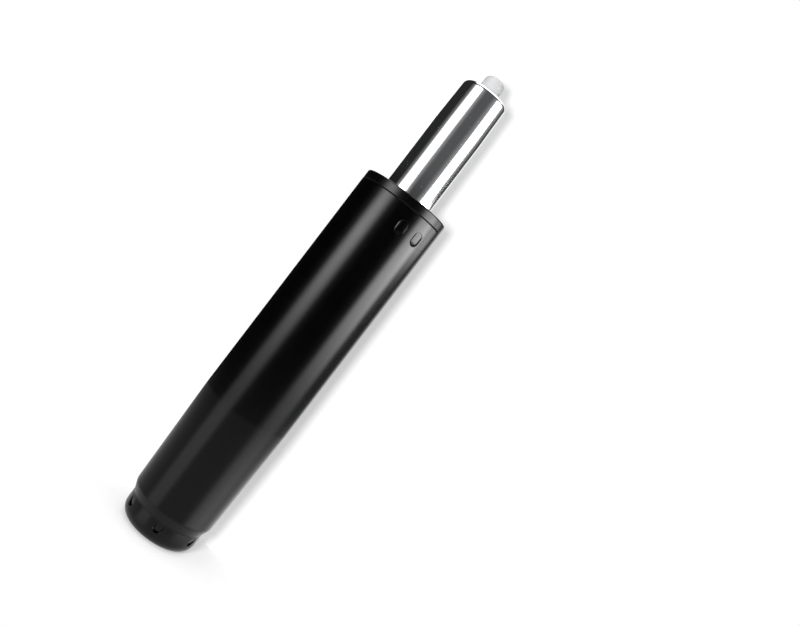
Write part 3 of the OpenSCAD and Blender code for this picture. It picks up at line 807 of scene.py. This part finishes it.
# looks past the lift, which stands to the left of the middle
gaze = ahead * math.cos(aim) + right * math.sin(aim)
beside = right * math.cos(aim) - ahead * math.sin(aim)
axes = (
    beside * math.cos(lean) + up * math.sin(lean),
    up * math.cos(lean) - beside * math.sin(lean),
    -gaze,
)
spot = (up * shot["height"] - ahead * shot["distance"]) * mm
camera.matrix_world = Matrix.Translation(spot) @ Matrix(axes).transposed().to_4x4()
scene.camera = camera
print("camera set")


# Stage: a small pale floor with a soft round end, and a narrow pale board that catches the shadow

stageLook = {
    "floor": {"tone": 0.92, "glow": 0.32, "size": (130, 130), "aside": 10.0, "fade": (22, 62)},
    "board": {"tone": 0.70, "glow": 0.46, "size": (56, 600), "aside": 8.0, "gap": 1.0, "whiten": (360, 750)},
}


def paleFinish(name, middle):
    look = stageLook[name]
    material, finish = newFinish(name)
    rays = ("Is Camera Ray", "Is Glossy Ray", "Is Transmission Ray")
    eye, mirrored, through = (finish.add("ShaderNodeLightPath", out=ray) for ray in rays)
    place = finish.add("ShaderNodeNewGeometry", out="Position")
    gone = finish.add("ShaderNodeNewGeometry", out="Backfacing")  # see-through from behind
    glow = look["glow"]
    if "whiten" in look:  # with the distance from the foot
        low, high = look["whiten"]
        glow = glow + finish.spread(finish.measure("LENGTH", place), low * mm, high * mm)
    if "fade" in look:  # a soft round end
        low, high = look["fade"]
        off = finish.measure("DISTANCE", place, middle)
        gone = 1 - (1 - gone) * (1 - finish.spread(off, low * mm, high * mm))
    tone = look["tone"]
    light = finish.add("ShaderNodeEmission", {}, {"Strength": (eye + mirrored + through) * glow})
    paper = finish.add("ShaderNodeBsdfDiffuse", {}, {"Color": (tone, tone, tone, 1)})
    lit = finish.add("ShaderNodeAddShader", {}, {0: light, 1: paper})
    clear = finish.add("ShaderNodeBsdfTransparent")
    seen = finish.add("ShaderNodeMixShader", {}, {0: gone, 1: lit, 2: clear})
    finish.add("ShaderNodeOutputMaterial", {}, {"Surface": seen})
    return material


def stageSheet(name, middle, across, along):
    mesh = bpy.data.meshes.new(name)
    wide, deep = (size / 2 * mm for size in stageLook[name]["size"])
    ends = ((-1, -1), (1, -1), (1, 1), (-1, 1))
    corners = [middle + across * a * wide + along * b * deep for a, b in ends]
    mesh.from_pydata(corners, [], [(0, 1, 2, 3)])
    mesh.materials.append(paleFinish(name, middle))
    sheet = bpy.data.objects.new(name, mesh)
    scene.collection.objects.link(sheet)


board = stageLook["board"]
boardBack = nodeRadius("outer_column") + board["gap"]
boardMiddle = ahead * boardBack + right * board["aside"] + up * board["size"][1] / 2
stageSheet("board", boardMiddle * mm, right, up)
stageSheet("floor", right * stageLook["floor"]["aside"] * mm, right, ahead)

keyLight = {"aside": 88.0, "across": 90.0, "level": 0.68}  # a soft lamp to the left of the camera
lamp = bpy.data.lights.new("key", "POINT")
lamp.shadow_soft_size = keyLight["across"] / 2 * mm
lamp.energy = keyLight["level"] * 4 * math.pi ** 2  # gives that level on what faces the lamp
lamp.use_nodes = True
evenly = Finish(lamp.node_tree)
reach = evenly.add("ShaderNodeLightFalloff", {}, {"Strength": 1.0}, out="Constant")
shine = evenly.add("ShaderNodeEmission", {}, {"Strength": reach})
evenly.add("ShaderNodeOutputLight", {}, {"Surface": shine})
key = bpy.data.objects.new("key", lamp)
key.location = spot - right * keyLight["aside"] * mm
key.visible_glossy = False
scene.collection.objects.link(key)

# The eye sees a white room. The gloss sees a dark studio: two tall soft boxes with a halo, low strips of
# light under them, a light for the right rim, a pale ground below, a lamp on top and a pale stretch behind.
# A span is where a strip begins, is full, still is full and ends, in degrees of bearing
studioLook = {
    "ambient": 0.18, "overhead": 0.8, "overheadRise": (0.3, 0.95),  # plain light, for what isn't gloss
    "boxes": (
        {"middle": -45, "span": (-23.8, -2, 3, 24.5), "level": 6.0, "widen": 0.94,
         "halo": (-88, -58, -30, -2), "lowSpan": (-70, -55, -34, -24),
         "low": (-22, -16, 0.38, 0.60), "lowTop": (-10, -14, 0.75, 1.0)},
        {"middle": 78, "span": (-26.5, -11, 8, 24.8), "level": 8.0, "widen": 0.88,
         "halo": (26, 62, 100, 128), "lowSpan": (42, 67, 82, 114),
         "low": (-22, -18, 0.80, 0.88), "lowTop": (-11, -18, 0.46, 1.0)},
    ),
    "halo": 0.30, "fade": (-11, 8.0), "widenRise": (5.5, 7.0), "boxTop": (24, 16),
    "rim": {"span": (60, 100, 108, 136), "level": 4.4, "rise": (2.2, 5.5), "fall": (6.85, 6.5)},
    "leftward": (-30, -70), "rightward": (60, 110), "farther": (90, 115),
    "front": (0.01, 0.11), "frontRise": (5.5, 8.5), "leftBack": (0.005, 0.026), "rightBack": 0.07,
    "below": (0.30, 0.26, 0.42), "belowRise": (-9, -17), "leftRise": (-10.6, -17),
    "deep": (-24, -50, 1.0, 0.45), "belowEnd": (-56, -44), "endTurn": (70, 120, 0, 18),
    "top": 4.0, "topRise": (35, 42), "topSpan": (-80, -60, 80, 105),
    "back": 0.7, "backStart": (6.2, 6.9, 140, 154), "backSpan": ((0, 12), (-170, -178)),
    "strong": (6.5, 6.85, 2.38, 1.0),  # what the column sees is stronger than what the chrome sees
}


def studioLight(room):
    look = studioLook
    way = room.add("ShaderNodeTexCoord", out="Generated")
    side, depth, rise = (room.along(way, axis) for axis in (right, ahead, up))
    near = 1 - depth
    # of a ray's mirror, so that strips stay upright
    bearing = side.maths("ARCTAN2", side, near) * math.degrees(2)
    height = rise.maths("ARCSINE", rise) * math.degrees(1)
    square = side * side + near * near
    tilt = rise.maths("ARCTAN2", rise, square.maths("SQRT", square)) * math.degrees(1)

    def strip(span, where=bearing):
        return room.spread(where, span[0], span[1]) * room.spread(where, span[3], span[2])

    lit = room.spread(height, *look["fade"])
    foot = room.spread(tilt + room.spread(bearing, *look["endTurn"]), *look["belowEnd"])
    deep = foot * room.spread(height, *look["deep"])
    light = 0.0
    for box in look["boxes"]:
        widen = room.spread(height, *look["widenRise"], box["widen"], 1.0)
        tall = strip(box["span"], (bearing - box["middle"]) * widen) * box["level"]
        low = room.spread(height, *box["low"]) * room.spread(height, *box["lowTop"]) * deep
        tall = tall + strip(box["halo"]) * look["halo"]
        light = light + tall * lit + strip(box["lowSpan"]) * (1 - lit) * low
    light = light * room.spread(tilt, *look["boxTop"])
    rim = look["rim"]
    edge = room.spread(height, *rim["rise"]) * room.spread(height, *rim["fall"]) * rim["level"]
    light = light + strip(rim["span"]) * edge

    leftward = room.spread(bearing, *look["leftward"])
    rightward = room.spread(bearing, *look["rightward"])
    farther = room.spread(bearing, *look["farther"])
    dark = (1 - leftward - rightward) * room.spread(height, *look["frontRise"], *look["front"])
    dark = dark + leftward * room.spread(height, *look["frontRise"], *look["leftBack"])
    dark = dark + rightward * look["rightBack"]

    front, left, far = look["below"]
    below = (front * (1 - leftward) + farther * (far - front)) * room.spread(height, *look["belowRise"])
    below = below + leftward * left * room.spread(height, *look["leftRise"])
    top = room.spread(tilt, *look["topRise"]) * strip(look["topSpan"]) * look["top"]
    start = room.spread(height, *look["backStart"])
    behind = room.spread(bearing - start, *look["backSpan"][0]) + room.spread(bearing, *look["backSpan"][1])
    strong = room.spread(height, *look["strong"])
    return (light + dark + below * foot) * strong + behind * look["back"] * foot + top


scene.world = bpy.data.worlds.new("room")
scene.world.use_nodes = True
scene.world.cycles.sampling_method = "NONE"
room = Finish(scene.world.node_tree)
rays = ("Is Camera Ray", "Is Glossy Ray", "Is Transmission Ray", "Diffuse Depth")
eye, mirrored, through, spent = (room.add("ShaderNodeLightPath", out=ray) for ray in rays)
white = eye + through
gloss = mirrored * spent.maths("LESS_THAN", spent, 0.5)  # what the metal throws on the board stays plain
skyRise = room.along(room.add("ShaderNodeTexCoord", out="Generated"), up)
plain = studioLook["ambient"] + room.spread(skyRise, *studioLook["overheadRise"]) * studioLook["overhead"]
strength = white + gloss * studioLight(room) + (1 - white - gloss) * plain
sky = room.add("ShaderNodeBackground", {}, {"Color": (1, 1, 1, 1), "Strength": strength})
room.add("ShaderNodeOutputWorld", {}, {"Surface": sky})
print("stage and lights set")
